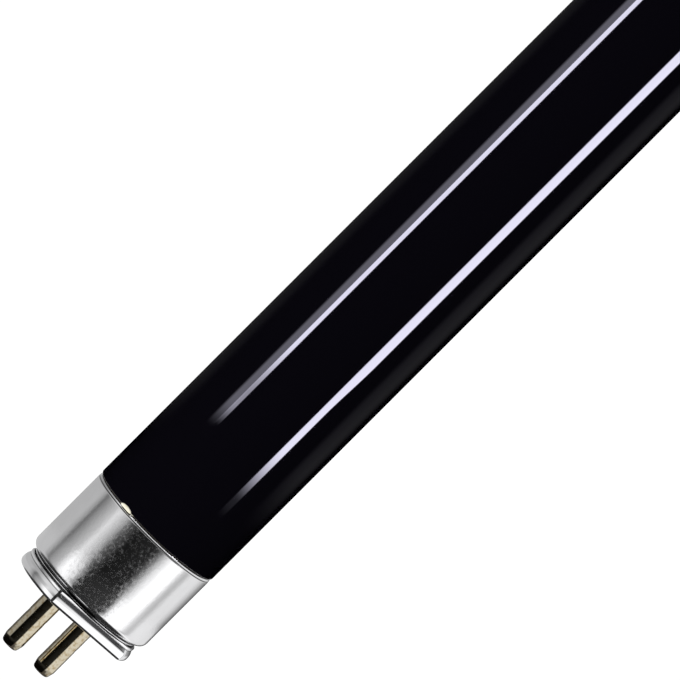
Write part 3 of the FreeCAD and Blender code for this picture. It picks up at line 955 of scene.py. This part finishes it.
# %% Cards for the metal
# The strength of the cards by angle, in front of the skirts.
SKIRT_CARDS = [
    (-180, 0.50),
    (-150, 0.15),
    (-126, 0.12),
    (-110, 0.40),
    (-96, 0.74),
    (-88, 0.90),
    (-68, 0.92),
    (-58, 0.56),
    (-51, 0.72),
    (-43, 1.40),
    (-27, 1.40),
    (-15, 0.85),
    (-5, 0.18),
    (2, 0.02),
    (38, 0.01),
    (53, 0.09),
    (60, 0.38),
    (70, 0.72),
    (77, 0.92),
    (84, 0.62),
    (102, 0.33),
    (111, 0.17),
    (117, 0.40),
    (126, 0.55),
    (180, 0.50),
]
# In front of the end portions.
END_CARDS = [
    (-180, 0.60),
    (-150, 0.10),
    (-126, 0.08),
    (-116, 0.85),
    (-88, 0.95),
    (-68, 0.98),
    (-58, 0.62),
    (-51, 0.80),
    (-43, 1.35),
    (-13, 1.30),
    (-6, 0.05),
    (50, 0.02),
    (57, 0.80),
    (66, 1.15),
    (77, 1.35),
    (85, 0.90),
    (91, 0.55),
    (104, 0.36),
    (111, 0.22),
    (117, 0.42),
    (126, 0.60),
    (180, 0.60),
]
# Out beyond the pins, for what is turned that way.
FAR_CARDS = [
    (-180, 0.15),
    (-150, 0.08),
    (-124, 0.08),
    (-113, 1.10),
    (-13, 1.30),
    (-6, 0.05),
    (50, 0.02),
    (58, 1.00),
    (77, 1.30),
    (88, 0.95),
    (100, 0.10),
    (180, 0.10),
]
# Over the glass, for the rim's lip and the slope that are turned to it.
SLOPE_CARDS = [
    (-180, 0.60),
    (-46, 1.00),
    (-35, 0.03),
    (0, 0.03),
    (50, 0.05),
    (58, 0.80),
    (92, 0.85),
    (112, 0.50),
    (150, 0.30),
    (180, 0.40),
]
DARK_CARDS = [
    (-180, 0.03),
    (180, 0.03),
]
# Along the pins and at their tips.
PIN_CARDS = [
    (-180, 0.10),
    (-112, 0.12),
    (-94, 0.72),
    (-10, 0.76),
    (-3, 0.02),
    (79, 0.00),
    (86, 0.34),
    (128, 0.36),
    (142, 0.12),
    (180, 0.10),
]
TIP_CARDS = [
    (-180, 0.05),
    (-100, 0.45),
    (-15, 0.70),
    (-3, 0.02),
    (180, 0.02),
]
CARD_PEAK = 1.4
CARDS = SKIRT_CARDS + END_CARDS + FAR_CARDS + SLOPE_CARDS + DARK_CARDS + PIN_CARDS + TIP_CARDS
print(f"stops: {len(CARDS)}, strongest {max(strength for degrees, strength in CARDS)}")

# %% Metal and pin tents
METAL_TENT_RADIUS = 0.04
PIN_TENT_RADIUS = 0.0395
# What stands round the lamp's middle, before the first ring of cards.
MIDDLE_LEVEL = 0.9


def card_tent(name, zones):
    """Cards of light whose strength changes with the reach: (start, blur, strength by angle)."""
    finish, place = new_finish(name)
    angle, reach = tent_places(finish, place)
    level = MIDDLE_LEVEL
    for start, blur, levels in zones:
        stops = [((turn + 180.0) / 360.0, strength / CARD_PEAK) for turn, strength in levels]
        ramp = finish.node("ShaderNodeValToRGB", {"stops": stops}, {0: (angle + 180.0) / 360.0})
        there = finish.smooth_step(reach, start - blur, start + blur)
        level = ramp * CARD_PEAK * there + level * (1.0 - there)
    light = finish.node("ShaderNodeEmission", {}, {"Strength": level})
    clear = finish.node("ShaderNodeBsdfTransparent")
    both = finish.node("ShaderNodeAddShader", {}, {0: light, 1: clear})
    finish.node("ShaderNodeOutputMaterial", {}, {"Surface": both})
    return finish


METAL_ZONES = [
    (93.0, 3.0, SLOPE_CARDS),
    (129.0, 7.0, SKIRT_CARDS),
    (145.5, 1.3, END_CARDS),
    (166.0, 4.0, FAR_CARDS),
    (177.0, 7.0, DARK_CARDS),
]
PIN_ZONES = [
    (100.0, 3.0, PIN_CARDS),
    (162.0, 3.0, TIP_CARDS),
]
small_nodes = [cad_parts[f"{side}_{ending}"] for side in SIDES for ending in NODE_FINISHES]
small_nodes = [rim_cement] + [node for node in small_nodes if node.name != "left_cement_ring"]
metal_cards = card_tent("metal_tent", METAL_ZONES)
new_tent("metal_tent", METAL_TENT_RADIUS, metal_cards, shells + small_nodes)
new_tent("pin_tent", PIN_TENT_RADIUS, card_tent("pin_tent", PIN_ZONES), pins)

# %% [markdown]
# ## Floor, world and key lamp
#
# The photograph's background is plain white. The world is white to the camera and a little
# dimmer to everything else, so that no more light than a plain studio's falls on the lamp. The
# floor is pale and matt, and keeps the lamp's soft shadow.

# %% Floor
FLOOR_DEPTH = 0.6
FLOOR_SIZE = 6.0
PAPER = (0.8, 0.8, 0.8, 1.0)
# What brings the grey paper up to white for the camera alone.
FLOOR_LIFT = 0.42


def make_floor():
    bm = bmesh.new()
    bmesh.ops.create_grid(bm, x_segments=1, y_segments=1, size=FLOOR_SIZE / 2)
    bmesh.ops.translate(bm, vec=(0.0, 0.0, -FLOOR_DEPTH), verts=bm.verts[:])
    mesh = bpy.data.meshes.new("floor")
    bm.to_mesh(mesh)
    bm.free()
    finish = Finish(bpy.data.materials.new("floor_paper"))
    paths = finish.node("ShaderNodeLightPath")
    matt = finish.node("ShaderNodeBsdfDiffuse", {}, {"Color": PAPER})
    seen = paths.output("Is Camera Ray") * FLOOR_LIFT
    lift = finish.node("ShaderNodeEmission", {}, {"Strength": seen})
    paper = finish.node("ShaderNodeAddShader", {}, {0: matt, 1: lift})
    clear = finish.node("ShaderNodeBsdfTransparent")
    under = finish.node("ShaderNodeNewGeometry", output="Backfacing")
    both = finish.node("ShaderNodeMixShader", {}, {0: under, 1: paper, 2: clear})
    finish.node("ShaderNodeOutputMaterial", {}, {"Surface": both})
    mesh.materials.append(finish.owner)
    floor = bpy.data.objects.new("floor", mesh)
    bpy.context.scene.collection.objects.link(floor)
    print(f"floor {FLOOR_DEPTH} m below the lamp")


make_floor()

# %% World and key lamp
WHITE = (1.0, 1.0, 1.0, 1.0)
WORLD_LEVEL = 0.75
KEY_PLACE = Vector((-0.5, -0.6, 0.9))
KEY_SIZE = 0.7
KEY_POWER = 6.0


def make_world():
    world = bpy.data.worlds.new("studio")
    bpy.context.scene.world = world
    finish = Finish(world)
    paths = finish.node("ShaderNodeLightPath")
    level = paths.output("Is Camera Ray") * (1.0 - WORLD_LEVEL) + WORLD_LEVEL
    light = finish.node("ShaderNodeBackground", {}, {"Color": WHITE, "Strength": level})
    finish.node("ShaderNodeOutputWorld", {}, {"Surface": light})


def make_key():
    data = bpy.data.lights.new("key", "AREA")
    data.shape = "SQUARE"
    data.size = KEY_SIZE
    data.energy = KEY_POWER
    key = bpy.data.objects.new("key", data)
    aim = KEY_PLACE.to_track_quat("Z", "Y").to_matrix().to_4x4()
    key.matrix_world = Matrix.Translation(KEY_PLACE) @ aim
    key.visible_glossy = False
    bpy.context.scene.collection.objects.link(key)


make_world()
make_key()
bpy.context.scene.view_settings.view_transform = "Standard"
print(f"world at {WORLD_LEVEL}, key lamp of {KEY_POWER} W")
